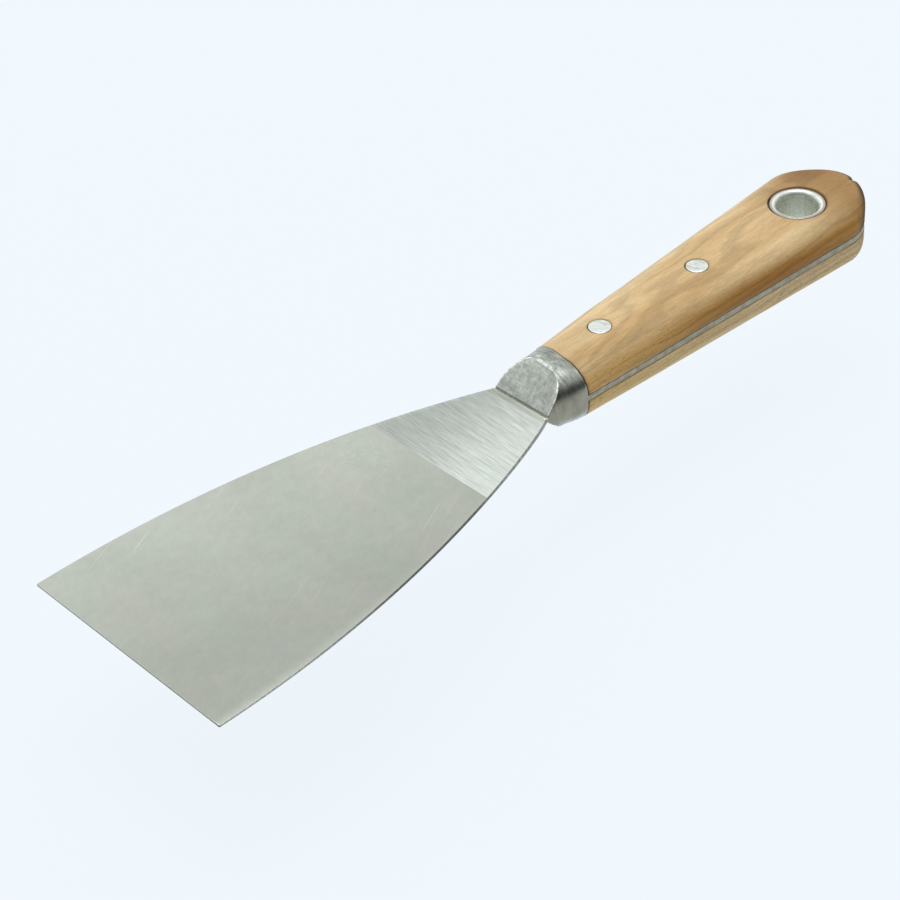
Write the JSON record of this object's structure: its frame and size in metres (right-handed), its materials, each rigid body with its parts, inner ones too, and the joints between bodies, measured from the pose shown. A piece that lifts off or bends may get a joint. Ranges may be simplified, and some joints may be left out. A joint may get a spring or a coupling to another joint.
{
  "type": "flexible putty knife",
  "caption": "Scale-tang putty knife: a broad flexible steel blade with a bolster, riveted between beech scales, with a hang-hole eyelet.",
  "frame": {"origin": "on the axis of the hang hole, at the middle of the tang's thickness", "axes": "+X along the knife from the hang hole to the blade's tip edge, +Y across the blade's width, +Z out of the handle's upper face"},
  "size_m": [0.2218, 0.06, 0.015],
  "materials": {
    "blade_steel": "brushed across the neck, satin ground beyond the grind line, polished bolster",
    "handle_beech": "sanded beech with a thin wax finish",
    "rivet_aluminium": "bright, ground flush with the wood",
    "eyelet_aluminium": "bright drawn tube with rolled rims"
  },
  "bodies": {
    "knife": {"forged_blade_and_tang": "blade_steel", "upper_handle_scale": "handle_beech", "lower_handle_scale": "handle_beech", "front_handle_rivet": "rivet_aluminium", "rear_handle_rivet": "rivet_aluminium", "hang_hole_eyelet": "eyelet_aluminium"},
    "blade_end": {"flexing_blade_end": "blade_steel"}
  },
  "joints": [
    {"name": "blade_flex", "type": "hinge", "parent": "knife", "child": "blade_end", "pos_m": [0.1555, 0, 0], "axis": [0, -1, 0], "range_deg": [-35, 35], "stiffness_Nm_per_rad": 4.5}
  ]
}
